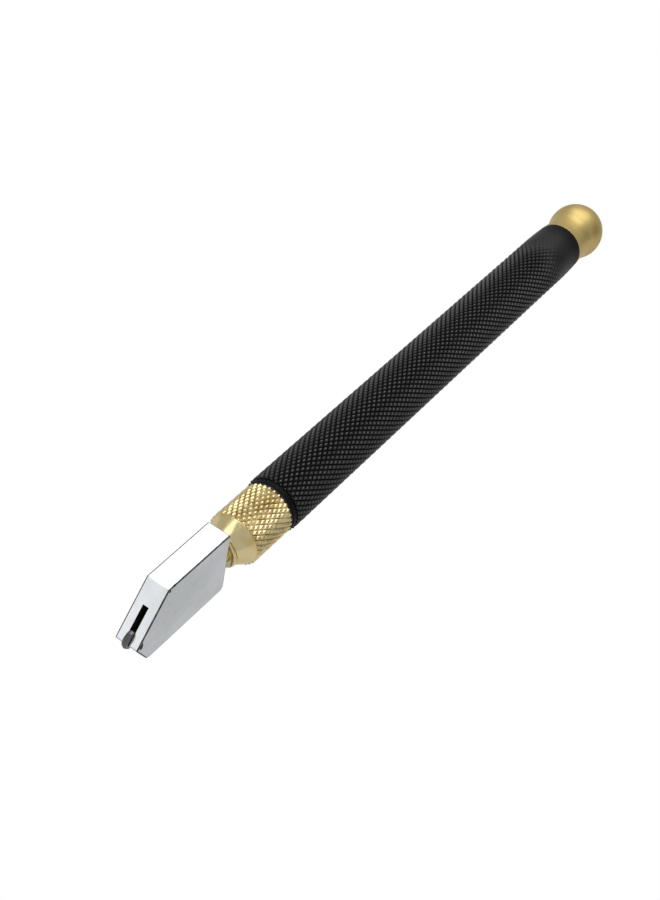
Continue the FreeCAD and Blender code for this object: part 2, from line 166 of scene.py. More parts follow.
# %% [markdown]
# ## Turned shapes
# A lathe makes every round part here. In Blender that is a circle whose open edge is extruded and
# scaled again and again, once for each corner of the profile. Spin would also do it, but extruding
# can carry on from an edge that isn't a clean circle, such as a knurl that was cut across.

# %% Turning by extruding an open edge
AROUND = 96


def open_edge(x, piece):
    """Picks a piece's open edge at a place along it."""
    take_up(piece)
    near = 0.002 * MM
    return pick("EDGE", lambda e: e.is_boundary and all(abs(v.co.x - x) < near for v in e.verts))


def turn_on(profile):
    """Extrudes the picked edge through a profile of (x, radius) corners, each a true circle."""
    data = bpy.context.object.data
    for x, radius in profile:
        bpy.ops.mesh.extrude_edges_move()
        mesh = bmesh.from_edit_mesh(data)
        for v in mesh.verts:
            if v.select:
                scale = radius / math.hypot(v.co.y, v.co.z)
                v.co = (x, v.co.y * scale, v.co.z * scale)
        bmesh.update_edit_mesh(data)


def turned(name, profile, around=AROUND):
    """A shell turned about the X axis through a profile of (x, radius) corners, open at both ends."""
    put_down()
    (x, radius), *rest = profile
    quarter = (0, math.pi / 2, 0)
    bpy.ops.mesh.primitive_circle_add(vertices=around, radius=radius, location=(x, 0, 0), rotation=quarter)
    piece = bpy.context.object
    piece.name = name
    bpy.ops.object.transform_apply(location=True, rotation=True, scale=True)
    bpy.ops.object.mode_set(mode="EDIT")
    bpy.ops.mesh.select_all(action="SELECT")
    turn_on(rest)
    return piece


def arc(centre, radius, start, end, steps):
    """Corners of a profile along an arc, from start to end in degrees, both included."""
    corners = []
    for i in range(steps + 1):
        angle = math.radians(start + (end - start) * i / steps)
        corners.append((centre[0] + radius * math.cos(angle), centre[1] + radius * math.sin(angle)))
    return corners


def close_pole():
    """Merges the picked ring into one point on the axis."""
    bpy.ops.mesh.merge(type="CENTER")


def bridge(wanted):
    """Joins two open edges with a band of faces. The tool loses its way in a mesh this small, so the
    mesh is a thousand times larger while it works."""
    piece = bpy.context.object
    for factor in (1000, 1 / 1000):
        if factor > 1:
            pick("EDGE", lambda e: e.is_boundary and wanted(e))
        bpy.ops.object.mode_set(mode="OBJECT")
        piece.data.transform(Matrix.Scale(factor, 4))
        bpy.ops.object.mode_set(mode="EDIT")
        if factor > 1:
            bpy.ops.mesh.bridge_edge_loops()


print("turned parts have", AROUND, "sides")

# %% [markdown]
# ## The knurl
# A knurl is two sets of spiral grooves rolled across each other, which leave rows of little pyramids.
# An array of one pyramid would not close round a cylinder, and a displacement would need millions of
# faces. So an open cylinder of flat cells is poked, which adds both diagonals, and the cells' own
# edges are dissolved. What is left is diamonds, two to a cell. Insetting every diamond by itself
# while raising it makes the pyramids, and a second small inset rounds their tops.

# %% Knurled skin
def knurled_skin(name, front, rear, outer, depth, around, row):
    """An open tube of raised diamonds between two places, before anything is turned down or cut."""
    root = outer - depth
    rows = math.ceil((rear - front) / row) + 2
    put_down()
    quarter = (0, math.pi / 2, 0)
    bpy.ops.mesh.primitive_cylinder_add(
        vertices=around, radius=root, depth=row, end_fill_type="NOTHING",
        location=(front - row, 0, 0), rotation=quarter,
    )
    skin = bpy.context.object
    skin.name = name
    bpy.ops.object.transform_apply(location=True, rotation=True, scale=True)
    apply_modifier(
        skin, "ARRAY", use_relative_offset=False, use_constant_offset=True,
        constant_offset_displace=(row, 0, 0), count=rows + 1,
        use_merge_vertices=True, merge_threshold=0.02 * MM,
    )
    take_up(skin)
    bpy.ops.mesh.select_all(action="SELECT")
    bpy.ops.mesh.poke()
    chord = root * (1 + math.cos(math.pi / around)) / 2
    pick("EDGE", lambda e: all(math.hypot(v.co.y, v.co.z) > chord for v in e.verts) and not e.is_boundary)
    bpy.ops.mesh.dissolve_edges(use_verts=False)
    pick("VERT", lambda v: math.hypot(v.co.y, v.co.z) < chord)
    out = 1 / math.cos(math.pi / around)
    bpy.ops.transform.resize(value=(1, out, out), center_override=(0, 0, 0))
    half = (math.pi * root / around, row / 2)
    inradius = half[0] * half[1] / math.hypot(*half)
    bpy.ops.mesh.select_mode(type="FACE")
    bpy.ops.mesh.select_all(action="SELECT")
    bpy.ops.mesh.inset(thickness=0.58 * inradius, depth=0.88 * depth, use_individual=True)
    bpy.ops.mesh.inset(thickness=0.14 * inradius, depth=0.16 * depth, use_individual=True)
    bpy.ops.object.mode_set(mode="OBJECT")
    print(name, rows, "rows,", len(skin.data.polygons), "faces")
    return skin


def turn_down(piece, limit):
    """Brings every vertex that stands proud of limit(x), a radius, down to it, as a lathe tool would."""
    for v in piece.data.vertices:
        radius = math.hypot(v.co.y, v.co.z)
        most = limit(v.co.x)
        if radius > most:
            v.co = (v.co.x, v.co.y * most / radius, v.co.z * most / radius)


def cut_off(piece, x, side):
    """Cuts a piece square at x, throws away what lies on the side (1 or -1), and picks the cut edge."""
    take_up(piece)
    bpy.ops.mesh.select_all(action="SELECT")
    bpy.ops.mesh.bisect(plane_co=(x, 0, 0), plane_no=(side, 0, 0), clear_outer=True, threshold=1e-7)
    open_edge(x, piece)


# %% [markdown]
# ## The threads
# Both ends of the barrel are screwed joints, and their threads show as soon as one is undone. A thread
# could be faked with rings, but rings don't climb. The Screw modifier sweeps one groove's profile
# round the axis, a pitch for each turn, and the turns are merged where they meet.

# %% Threaded skin
PITCH = 1.0 * MM


def threaded_skin(name, front, rear, crest, depth, steps=64):
    """An open tube with a right-hand thread, cut square at both ends."""
    turns = math.ceil((rear - front) / PITCH) + 2
    root = crest - depth
    put_down()
    bpy.ops.mesh.primitive_plane_add(size=PITCH, location=(0, 0, 0))
    skin = bpy.context.object
    skin.name = name
    bpy.ops.object.mode_set(mode="EDIT")
    bpy.ops.mesh.select_all(action="SELECT")
    bpy.ops.mesh.delete(type="ONLY_FACE")
    pick("VERT", lambda v: v.co.y > 0)
    bpy.ops.mesh.delete(type="VERT")
    pick("EDGE", lambda e: True)
    bpy.ops.mesh.subdivide(number_cuts=3)
    start = front - 1.5 * PITCH
    shape = [(0.0, root), (0.36, crest), (0.5, crest), (0.86, root), (1.0, root)]
    mesh = bmesh.from_edit_mesh(skin.data)
    for v, (share, radius) in zip(sorted(mesh.verts, key=lambda v: v.co.x), shape):
        v.co = (start + share * PITCH, 0, radius)
    bmesh.update_edit_mesh(skin.data)
    apply_modifier(
        skin, "SCREW", axis="X", angle=2 * math.pi, screw_offset=PITCH,
        steps=steps, render_steps=steps, iterations=turns,
    )
    take_up(skin)
    bpy.ops.mesh.select_all(action="SELECT")
    bpy.ops.mesh.remove_doubles(threshold=1e-6)
    print(name, turns, "turns,", len(skin.data.polygons), "faces")
    return skin


# %% [markdown]
# ## Finishing a piece
# A finished piece is closed, its faces point out, and only edges sharper than a chosen angle stay
# sharp. Then it is stood at the tool's height and its place is applied, so that the object sits at
# the origin, rides on its CAD body and stands for its CAD node.

# %% Finishing
def point_out(piece):
    """Merges doubles and turns all faces outwards: a closed piece has a positive volume only then."""
    take_up(piece)
    bpy.ops.mesh.select_all(action="SELECT")
    bpy.ops.mesh.remove_doubles(threshold=1e-7)
    bpy.ops.mesh.normals_make_consistent(inside=False)
    if bmesh.from_edit_mesh(piece.data).calc_volume(signed=True) < 0:
        bpy.ops.mesh.flip_normals()


def finish_piece(piece, finish, body, slot, *replaced, sharp=30, place=None, turn=0.0):
    """Closes, smooths, places and paints a piece, attaches it to its body and hides the CAD nodes it
    replaces.
    """
    point_out(piece)
    put_down()
    piece.select_set(True)
    bpy.context.view_layer.objects.active = piece
    piece.rotation_euler = (0, 0, turn)
    piece.location = place or (0, 0, axis_height)
    bpy.ops.object.transform_apply(location=True, rotation=True, scale=True)
    bpy.ops.object.shade_smooth_by_angle(angle=math.radians(sharp))
    if not piece.data.materials:
        piece.data.materials.append(finish)
    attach(piece, body)
    if replaced:
        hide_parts(*replaced)
    mesh = bmesh.new()
    mesh.from_mesh(piece.data)
    gaps = sum(1 for e in mesh.edges if not e.is_manifold)
    triangles = sum(len(f.verts) - 2 for f in mesh.faces)
    volume = mesh.calc_volume(signed=True) / MM**3
    mesh.free()
    print(f"{piece.name}: {triangles} triangles, {gaps} open edges, {volume:.1f} mm3")
    return piece


# %% [markdown]
# ## Writing finishes
# Each finish is a shader with a few nodes in front of it. They all read Object coordinates, which are
# metres in the model's own frame, so a noise scale of 1000 makes spots about a millimetre across.
# Colours and numbers that are the same all over stay on the shader's own sockets.

# %% A small language for node trees
def new_finish(name, color, metallic, roughness, **sockets):
    """A material with a Principled shader, and its plain values set on the shader itself."""
    finish = bpy.data.materials.new(name)
    finish.use_nodes = True
    shader = finish.node_tree.nodes["Principled BSDF"]
    shader.inputs["Base Color"].default_value = (*color, 1)
    shader.inputs["Metallic"].default_value = metallic
    shader.inputs["Roughness"].default_value = roughness
    for socket, number in sockets.items():
        shader.inputs[socket.replace("_", " ")].default_value = number
    finish.diffuse_color = (*color, 1)
    return finish


def add_node(finish, kind, **settings):
    """A node of a material, with its settings."""
    node = finish.node_tree.nodes.new("ShaderNode" + kind)
    for name, setting in settings.items():
        setattr(node, name, setting)
    return node


def feed(finish, target, source):
    """Links a node's output, or sets a plain number, into a socket."""
    if isinstance(source, (int, float, tuple)):
        target.default_value = source
    else:
        finish.node_tree.links.new(source, target)


print("nodes can be added and linked")


# %% Coordinates and noise
def coordinates(finish, stretch=(1, 1, 1), centre=(0, 0, 0)):
    """Object coordinates, moved so that centre is the origin and then stretched."""
    source = add_node(finish, "TexCoord").outputs["Object"]
    moved = add_node(finish, "Mapping")
    feed(finish, moved.inputs["Vector"], source)
    moved.inputs["Location"].default_value = [-c * s for c, s in zip(centre, stretch)]
    moved.inputs["Scale"].default_value = stretch
    return moved.outputs["Vector"]


def noise(finish, scale, detail=3.0, stretch=(1, 1, 1), roughness=0.5):
    """Noise in millimetres: scale is spots to the millimetre."""
    node = add_node(finish, "TexNoise")
    feed(finish, node.inputs["Vector"], coordinates(finish, stretch))
    node.inputs["Scale"].default_value = scale / MM
    node.inputs["Detail"].default_value = detail
    node.inputs["Roughness"].default_value = roughness
    return node.outputs["Fac"]


print("noise is in spots to the millimetre")


# %% Ramps, sums and blends
def ramp(finish, value, low, high, to_low=0.0, to_high=1.0, smooth=True):
    """Maps a value's range onto another, held at both ends."""
    node = add_node(finish, "MapRange", clamp=True)
    if smooth:
        node.interpolation_type = "SMOOTHSTEP"
    feed(finish, node.inputs["Value"], value)
    for name, number in (("From Min", low), ("From Max", high), ("To Min", to_low), ("To Max", to_high)):
        feed(finish, node.inputs[name], number)
    return node.outputs["Result"]


def combine(finish, operation, first, second, third=None):
    """A Math node on two or three values."""
    node = add_node(finish, "Math", operation=operation)
    for socket, source in zip(node.inputs, (first, second, third)):
        if source is not None:
            feed(finish, socket, source)
    return node.outputs["Value"]


def blend_colors(finish, factor, low, high):
    """Goes from one colour to another as the factor goes from 0 to 1."""
    node = add_node(finish, "Mix", data_type="RGBA")
    feed(finish, node.inputs[0], factor)
    for socket, color in ((node.inputs[6], low), (node.inputs[7], high)):
        feed(finish, socket, (*color, 1) if isinstance(color, tuple) else color)
    return node.outputs[2]


def paint(finish, socket, source):
    """Feeds one of the shader's own sockets."""
    feed(finish, finish.node_tree.nodes["Principled BSDF"].inputs[socket], source)


print("values can be mapped, combined and blended")


# %% Relief and places on the tool
def relief(finish, height, distance, strength=1.0, under=None):
    """A bump of the given depth in metres, on top of another one where given."""
    node = add_node(finish, "Bump")
    node.inputs["Strength"].default_value = strength
    node.inputs["Distance"].default_value = distance
    feed(finish, node.inputs["Height"], height)
    if under is not None:
        feed(finish, node.inputs["Normal"], under)
    return node.outputs["Normal"]


def distance_from_axis(finish):
    """How far a point is from the tool's axis, in metres."""
    flat = coordinates(finish, (0, 1, 1), (0, 0, axis_height))
    length = add_node(finish, "VectorMath", operation="LENGTH")
    feed(finish, length.inputs[0], flat)
    return length.outputs["Value"]


def along(finish, axis):
    """One of a point's Object coordinates: 0, 1 or 2 for X, Y or Z."""
    split = add_node(finish, "SeparateXYZ")
    feed(finish, split.inputs[0], coordinates(finish))
    return split.outputs[axis]


print("finishes can follow the tool's axis")

# %% [markdown]
# ## Black barrel finish
# The barrel is aluminium under a thin satin black coat. Coating is darkest and dullest down in the
# knurl's grooves, where dust and oil stay, and handling polishes the peaks. So the height above the
# grooves drives both colour and roughness, with a fine noise to break them up. Towards the tail the
# peaks' lighter colour is held back as painted shade, and the peaks there are rougher and less shiny.

# %% Black coating
barrel_front, barrel_rear = span("barrel_tube")
barrel_radius = 6.35 * MM
barrel_knurl = 0.36 * MM


def black_coating():
    """A satin black coat, duller and darker in the grooves."""
    finish = new_finish("satin_black_coat", (0.008, 0.008, 0.009), 0.0, 0.34, Specular_IOR_Level=0.4)
    height = ramp(finish, distance_from_axis(finish), barrel_radius - barrel_knurl, barrel_radius)
    # Painted shade: the tail factor darkens the peaks' colour towards the tail, and also makes them
    # rougher and less specular there.
    tail = ramp(finish, along(finish, 0), barrel_rear - 22.0 * MM, barrel_rear - 8.0 * MM, 1.0, 0.45)
    height = combine(finish, "MULTIPLY", height, tail)
    speckle = noise(finish, 2.5, 4.0)
    marks_and_painted_light = ramp(finish, combine(finish, "MULTIPLY", height, speckle), 0.40, 0.70)
    paint(finish, "Base Color", blend_colors(finish, marks_and_painted_light, (0.004, 0.004, 0.0045), (0.030, 0.030, 0.032)))
    dull = ramp(finish, height, 0.2, 1.0, 0.45, 0.20)
    paint(finish, "Roughness", combine(finish, "MULTIPLY_ADD", speckle, 0.08, dull))
    paint(finish, "Specular IOR Level", ramp(finish, height, 0.1, 1.0, 0.10, 0.75))
    paint(finish, "Normal", relief(finish, noise(finish, 14.0, 3.0), 0.006 * MM, 0.5))
    return finish


print("barrel", round((barrel_rear - barrel_front) / MM, 1), "mm long")

# %% [markdown]
# ## Brass finishes
# The collar is polished and lacquered brass: bright yellow with white sparks, and brown where polish
# and grime have stayed in the knurl. The ball is the same metal with a satin surface, turned and then
# brushed, so it has no sharp reflections. Its fine turning marks run round the axis.

# %% Polished brass and satin brass
collar_nose, collar_spigot_end = span("nose_collar")
collar_rear = span("collar_gasket")[0]
collar_front = collar_rear - 11.0 * MM
collar_radius = 6.0 * MM
collar_knurl = 0.28 * MM
cap_front, cap_end = span("end_cap")
ball_radius = 6.84 * MM


def polished_brass():
    """Bright brass with grime left in the knurl."""
    finish = new_finish("bright_brass", (0.80, 0.63, 0.27), 1.0, 0.16)
    height = ramp(finish, distance_from_axis(finish), collar_radius - collar_knurl, collar_radius)
    on_knurl = ramp(finish, along(finish, 0), collar_front - 0.1 * MM, collar_front + 0.1 * MM)
    groove = combine(finish, "MULTIPLY", on_knurl, combine(finish, "SUBTRACT", 1.0, height))
    cloud = noise(finish, 0.35, 4.0)
    dirt = combine(finish, "MULTIPLY", groove, combine(finish, "ADD", cloud, 0.30))
    grime = ramp(finish, dirt, 0.45, 0.95)
    fresh = blend_colors(finish, ramp(finish, cloud, 0.35, 0.7), (0.87, 0.73, 0.41), (0.78, 0.62, 0.28))
    paint(finish, "Base Color", blend_colors(finish, grime, fresh, (0.32, 0.22, 0.09)))
    smear = ramp(finish, noise(finish, 1.1, 5.0), 0.3, 0.75, 0.15, 0.27)
    paint(finish, "Roughness", combine(finish, "MULTIPLY_ADD", grime, 0.35, smear))
    paint(finish, "Normal", relief(finish, noise(finish, 3.0, 4.0, (0.3, 1, 1)), 0.010 * MM, 0.35))
    return finish


def satin_brass():
    """Brushed brass with fine marks round the axis."""
    finish = new_finish("soft_brass", (0.66, 0.50, 0.20), 1.0, 0.45)
    cloud = ramp(finish, noise(finish, 0.22, 3.0), 0.3, 0.7)
    paint(finish, "Base Color", blend_colors(finish, cloud, (0.70, 0.54, 0.22), (0.61, 0.46, 0.17)))
    marks = noise(finish, 9.0, 2.0, (1, 0.05, 0.05))
    paint(finish, "Roughness", ramp(finish, marks, 0.25, 0.75, 0.42, 0.50))
    grain = relief(finish, noise(finish, 16.0, 3.0), 0.006 * MM, 0.4)
    paint(finish, "Normal", relief(finish, marks, 0.006 * MM, 0.5, grain))
    return finish


print("collar", round((collar_rear - collar_nose) / MM, 1), "mm from its nose to the seal")

# %% [markdown]
# ## Plated steel
# The head is ground flat and nickel plated. Plating follows the grinding marks, so its reflections are
# soft and slightly streaked along the tool. Years of oil leave faint grey smudges beside the slanted
# face and a dark stain around the end of the axle. Dark lines along the long edges and the sides' low
# and back edges are painted dark reflections. Inside the slot, the holes and the dents the steel is
# painted near black as shade.

# %% Nickel plate, painted edge lines and painted recess shade
head_back = span("wheel_holder")[1]
wheel_low, wheel_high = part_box("cutting_wheel")
wheel_middle = (wheel_low + wheel_high) / 2


def nickel_plate():
    """Nickel plate with grinding streaks, smudges, a stain at the axle and painted dark reflection lines
    along the edges.
    """
    finish = new_finish("worn_nickel", (0.70, 0.72, 0.74), 1.0, 0.2)
    cloud = ramp(finish, noise(finish, 0.12, 4.0, (0.6, 1, 1)), 0.35, 0.7)
    metal = blend_colors(finish, cloud, (0.74, 0.765, 0.79), (0.64, 0.665, 0.685))
    stain = add_node(finish, "VectorMath", operation="LENGTH")
    feed(finish, stain.inputs[0], coordinates(finish, (1.25, 0, 0.62), wheel_middle))
    ragged = combine(finish, "MULTIPLY_ADD", noise(finish, 1.6, 3.0), 0.8 * MM, stain.outputs["Value"])
    near_axle = ramp(finish, ragged, 0.8 * MM, 1.25 * MM, 1.0, 0.0)
    on_side = ramp(finish, combine(finish, "ABSOLUTE", along(finish, 1), 0), 2.45 * MM, 2.6 * MM)
    oil = combine(finish, "MULTIPLY", near_axle, on_side)
    # Painted reflection: dark lines along the low edge and the back edge of both sides, mixed into the
    # base colour below together with the real smudges.
    painted_low_edge_line = ramp(finish, along(finish, 2), 0.16 * MM, 0.42 * MM, 1.0, 0.0)
    painted_back_edge_line = ramp(finish, along(finish, 0), head_back - 0.40 * MM, head_back - 0.16 * MM)
    painted_edge_lines = combine(finish, "MAXIMUM", painted_low_edge_line, painted_back_edge_line)
    smudge = ramp(finish, noise(finish, 0.5, 4.0, (1, 0, 1)), 0.54, 0.74, 0.0, 0.14)
    marks_and_painted_light = combine(finish, "MAXIMUM", smudge, combine(finish, "MULTIPLY", painted_edge_lines, 0.75))
    metal = blend_colors(finish, combine(finish, "MULTIPLY", marks_and_painted_light, on_side), metal, (0.15, 0.155, 0.16))
    paint(finish, "Base Color", blend_colors(finish, oil, metal, (0.07, 0.072, 0.075)))
    grind = noise(finish, 6.0, 3.0, (0.08, 1, 1))
    streak = ramp(finish, grind, 0.3, 0.7, 0.17, 0.27)
    paint(finish, "Roughness", combine(finish, "MULTIPLY_ADD", oil, 0.3, streak))
    speck = relief(finish, noise(finish, 2.2, 5.0, roughness=0.6), 0.008 * MM, 0.25)
    paint(finish, "Normal", relief(finish, grind, 0.003 * MM, 0.4, speck))
    return finish


def painted_edge_reflection():
    """Dark steel for the rounded long edges: painted dark reflection lines, with a little tone variation.
    """
    finish = new_finish("painted_edge_reflection", (0.14, 0.145, 0.15), 1.0, 0.45)
    edge_tone = ramp(finish, noise(finish, 0.9, 4.0), 0.35, 0.7)
    # Painted reflection: this dark colour draws the dark lines that the rounded edges reflect.
    paint(finish, "Base Color", blend_colors(finish, edge_tone, (0.09, 0.092, 0.095), (0.19, 0.195, 0.20)))
    paint(finish, "Roughness", ramp(finish, edge_tone, 0, 1, 0.5, 0.35))
    return finish


def painted_recess_shade():
    """Near-black painted shade for the slot, the holes and the dents, with a little tone variation."""
    finish = new_finish("painted_recess_shade", (0.02, 0.018, 0.015), 0.0, 0.6)
    # Painted shade: the near-black colour stands in for the shade inside recesses.
    shade_tone = ramp(finish, noise(finish, 1.5, 4.0), 0.35, 0.7)
    paint(finish, "Base Color", blend_colors(finish, shade_tone, (0.008, 0.008, 0.006), (0.035, 0.03, 0.025)))
    paint(finish, "Roughness", ramp(finish, shade_tone, 0, 1, 0.55, 0.8))
    return finish


print("wheel middle", [round(c / MM, 2) for c in wheel_middle], "mm")

# %% [markdown]
# ## Wheel, steel, rubber and wick
# Sintered carbide is dark grey and, on the ground bevels of its edge, finely scratched across the rim.
# The small steel parts are plain turned wire and rod. The seals are dull rubber with a fine bloom.
# The wick is twisted cotton, yellowed by oil.

# %% The other finishes
def carbide():
    """Dark sintered carbide, scratched across its rim."""
    finish = new_finish("dark_carbide", (0.28, 0.28, 0.28), 1.0, 0.2)
    grain = noise(finish, 5.0, 4.0)
    paint(finish, "Base Color", blend_colors(finish, grain, (0.10, 0.10, 0.10), (0.24, 0.24, 0.235)))
    scratch = noise(finish, 7.0, 3.0, (1, 0.12, 1))
    paint(finish, "Roughness", ramp(finish, scratch, 0.3, 0.7, 0.14, 0.28))
    paint(finish, "Normal", relief(finish, scratch, 0.006 * MM, 0.5))
    return finish


def turned_steel(name, color, low, high):
    """Turned steel of a colour, between two roughnesses."""
    finish = new_finish(name, color, 1.0, low)
    marks = noise(finish, 6.0, 3.0)
    dark = tuple(c * 0.7 for c in color)
    paint(finish, "Base Color", blend_colors(finish, ramp(finish, marks, 0.3, 0.7), color, dark))
    paint(finish, "Roughness", ramp(finish, marks, 0.3, 0.7, low, high))
    paint(finish, "Normal", relief(finish, marks, 0.005 * MM, 0.4))
    return finish


def seal_rubber():
    """Dull black rubber with a fine bloom."""
    finish = new_finish("seal_rubber", (0.010, 0.010, 0.010), 0.0, 0.6, Specular_IOR_Level=0.35)
    bloom = noise(finish, 1.8, 4.0)
    dust = ramp(finish, bloom, 0.4, 0.75)
    paint(finish, "Base Color", blend_colors(finish, dust, (0.005, 0.005, 0.005), (0.016, 0.016, 0.016)))
    paint(finish, "Roughness", ramp(finish, bloom, 0.3, 0.7, 0.5, 0.72))
    paint(finish, "Normal", relief(finish, noise(finish, 9.0, 3.0), 0.008 * MM, 0.5))
    return finish


def oiled_cotton():
    """Twisted cotton, yellowed by oil."""
    finish = new_finish("oiled_cotton", (0.72, 0.62, 0.40), 0.0, 0.7)
    strands = noise(finish, 4.0, 3.0, (0.25, 1, 1))
    paint(finish, "Base Color", blend_colors(finish, strands, (0.52, 0.41, 0.22), (0.80, 0.71, 0.50)))
    paint(finish, "Normal", relief(finish, strands, 0.05 * MM, 0.8))
    return finish


# %% Making the finishes
black = black_coating()
brass = polished_brass()
satin = satin_brass()
nickel = nickel_plate()
dark_edge_reflection = painted_edge_reflection()
recess_shade_black = painted_recess_shade()
hard_metal = carbide()
steel = turned_steel("turned_steel", (0.45, 0.45, 0.46), 0.25, 0.45)
pin_steel = turned_steel("pin_steel", (0.10, 0.10, 0.105), 0.35, 0.55)
rubber = seal_rubber()
cotton = oiled_cotton()
made = (black, brass, satin, nickel, dark_edge_reflection, recess_shade_black, hard_metal, steel, pin_steel, rubber, cotton)
print("finishes", ", ".join(finish.name for finish in made))

# %% [markdown]
# ## Barrel
# The grip's knurl runs the whole length and fades along the tail, as if the roller was lifted slowly.
# Then the tail is turned to a soft taper and the front edge is chamfered. Fading the height is better
# than cutting the pyramids off, which would leave flat tops. The cut edges of the knurl are joined to
# a plain turned shell: the rim, the bore and the rear face.

# %% Barrel
tail_drop = 0.3 * MM
taper_length = 9.0 * MM
rim_length = 1.2 * MM
chamfer_length = 0.75 * MM
rim_radius = barrel_radius - tail_drop
bore_radius = 4.6 * MM
screw_bore = 5.0 * MM
taper_radius = (taper_length**2 + tail_drop**2) / (2 * tail_drop)


def barrel_limit(x):
    """The barrel's outline: a chamfer in front, a long arc at the tail, and straight between them."""
    front = rim_radius + tail_drop * (x - barrel_front) / chamfer_length
    into_taper = max(x - (barrel_rear - taper_length), 0)
    tail = barrel_radius - taper_radius + math.sqrt(taper_radius**2 - min(into_taper, taper_length) ** 2)
    return max(min(front, tail, barrel_radius), rim_radius)


def fade_out(piece, limit, start, end, least):
    """Makes a knurl shallower from start to end, where only the least share of its depth is left."""
    for v in piece.data.vertices:
        share = min(max((v.co.x - start) / (end - start), 0), 1)
        kept_depth = 1 - (1 - least) * share * share * (3 - 2 * share)
        radius = math.hypot(v.co.y, v.co.z)
        wanted = limit(v.co.x) - (limit(v.co.x) - radius) * kept_depth
        v.co = (v.co.x, v.co.y * wanted / radius, v.co.z * wanted / radius)


knurl_front = barrel_front + rim_length
grip = knurled_skin("barrel", knurl_front, barrel_rear, barrel_radius, barrel_knurl, 33, 1.96 * MM)
turn_down(grip, barrel_limit)
fade_start = barrel_rear - 19.0 * MM
fade_end = barrel_rear - 7.0 * MM
fade_out(grip, barrel_limit, fade_start, fade_end, 0.1)
root_radius = barrel_radius - barrel_knurl
cut_off(grip, knurl_front, -1)
turn_on([(knurl_front, root_radius - 0.02 * MM)])
cut_off(grip, barrel_rear, 1)
turn_on([(barrel_rear, root_radius - 0.04 * MM)])
edge_break = 0.06 * MM
front_bore_end = barrel_front + 9.0 * MM
rear_bore_end = barrel_rear - 9.0 * MM
shell = turned("barrel_shell", [
    (knurl_front, root_radius - 0.06 * MM),
    (knurl_front - edge_break, rim_radius - 0.01 * MM),
    (barrel_front + edge_break, rim_radius),
    (barrel_front, rim_radius - edge_break),
    (barrel_front, screw_bore + 2 * edge_break),
    (barrel_front + 2 * edge_break, screw_bore),
    (front_bore_end, screw_bore),
    (front_bore_end, bore_radius),
    (rear_bore_end, bore_radius),
    (rear_bore_end, screw_bore),
    (barrel_rear - 2 * edge_break, screw_bore),
    (barrel_rear, screw_bore + 2 * edge_break),
    (barrel_rear, root_radius - 0.1 * MM),
])
grip = join(grip, shell)
for place in (knurl_front, barrel_rear):
    bridge(lambda e: abs(middle(e).x - place) < 0.002 * MM)
finish_piece(grip, black, "barrel", "black_coating", "barrel_tube")

# %% [markdown]
# ## Drilling
# Holes and slots are booleans: a cutter shape is taken out of a closed piece, which is how a drill or
# a saw works. The exact solver copes with cutters that only just touch a face.

# %% Drilling and sawing
def cut_with(piece, cutter, finish=None):
    """Takes a cutter's shape out of a piece. The new faces get the cutter's finish."""
    put_down()
    if finish:
        cutter.data.materials.append(finish)
    apply_modifier(
        piece, "BOOLEAN", object=cutter, operation="DIFFERENCE", solver="EXACT", material_mode="TRANSFER"
    )
    bpy.data.objects.remove(cutter)


def cylinder_cutter(radius, start, end, around=48):
    """A drill from one point to another."""
    put_down()
    way = Vector(end) - Vector(start)
    bpy.ops.mesh.primitive_cylinder_add(
        vertices=around, radius=radius, depth=way.length, location=(Vector(start) + Vector(end)) / 2,
        rotation=way.to_track_quat("Z", "Y").to_euler(),
    )
    return bpy.context.object


print("cutters ready")

# %% [markdown]
# ## Collar
# The collar is one turned piece: a thread that goes into the barrel, the knurl, a smooth cone and a
# small lip at the nose, with the stem's bore through it. The knurl is cut square at its rear, so its
# last pyramids stand as teeth against the black seal.

# %% Collar
cone_tip = 3.70 * MM
groove_radius = 3.30 * MM
lip_round = 0.35 * MM
lip_rear = collar_nose + 0.7 * MM
guide_radius = 2.29 * MM
chamber_radius = 3.60 * MM
valve_seat = collar_rear - 6.0 * MM
spigot_radius = 4.95 * MM
thread_depth = 0.30 * MM
thread_front = collar_rear + 1.0 * MM
thread_rear = collar_spigot_end - 0.4 * MM
collar_root = collar_radius - collar_knurl

ring = knurled_skin("collar", collar_front, collar_rear, collar_radius, collar_knurl, 31, 1.96 * MM)
turn_down(ring, lambda x: collar_radius)
cut_off(ring, collar_front, -1)
turn_on([(collar_front, collar_root - 0.01 * MM)])
cut_off(ring, collar_rear, 1)
turn_on([(collar_rear, collar_root - 0.01 * MM)])

groove_rear = lip_rear + 0.2 * MM
nose = turned("collar_nose", [
    (collar_front, collar_root - 0.03 * MM),
    (collar_front - 0.12 * MM, collar_root - 0.05 * MM),
    (groove_rear + 0.25 * MM, cone_tip + 0.10 * MM),
    (groove_rear + 0.08 * MM, cone_tip),
    (groove_rear, cone_tip - 0.10 * MM),
    (groove_rear, groove_radius),
    (lip_rear, groove_radius),
    *arc((lip_rear - lip_round, cone_tip - 0.25 * MM), lip_round, 0, 180, 10),
    (collar_nose, guide_radius + 0.1 * MM),
    (collar_nose + 0.1 * MM, guide_radius),
    (valve_seat - 1.2 * MM, guide_radius),
    (valve_seat - 1.2 * MM, 2.8 * MM),
    (valve_seat, 2.8 * MM),
    (valve_seat, chamber_radius),
    (collar_spigot_end, chamber_radius),
    (collar_spigot_end, spigot_radius - thread_depth - 0.06 * MM),
    (thread_rear, spigot_radius - thread_depth - 0.05 * MM),
])
shank = turned("collar_shank", [
    (thread_front, spigot_radius - thread_depth - 0.05 * MM),
    (collar_rear, spigot_radius - thread_depth - 0.05 * MM),
    (collar_rear, collar_root - 0.03 * MM),
])
thread = threaded_skin("collar_thread", thread_front, thread_rear, spigot_radius, thread_depth)
cut_off(thread, thread_front, -1)
turn_on([(thread_front, spigot_radius - thread_depth - 0.02 * MM)])
cut_off(thread, thread_rear, 1)
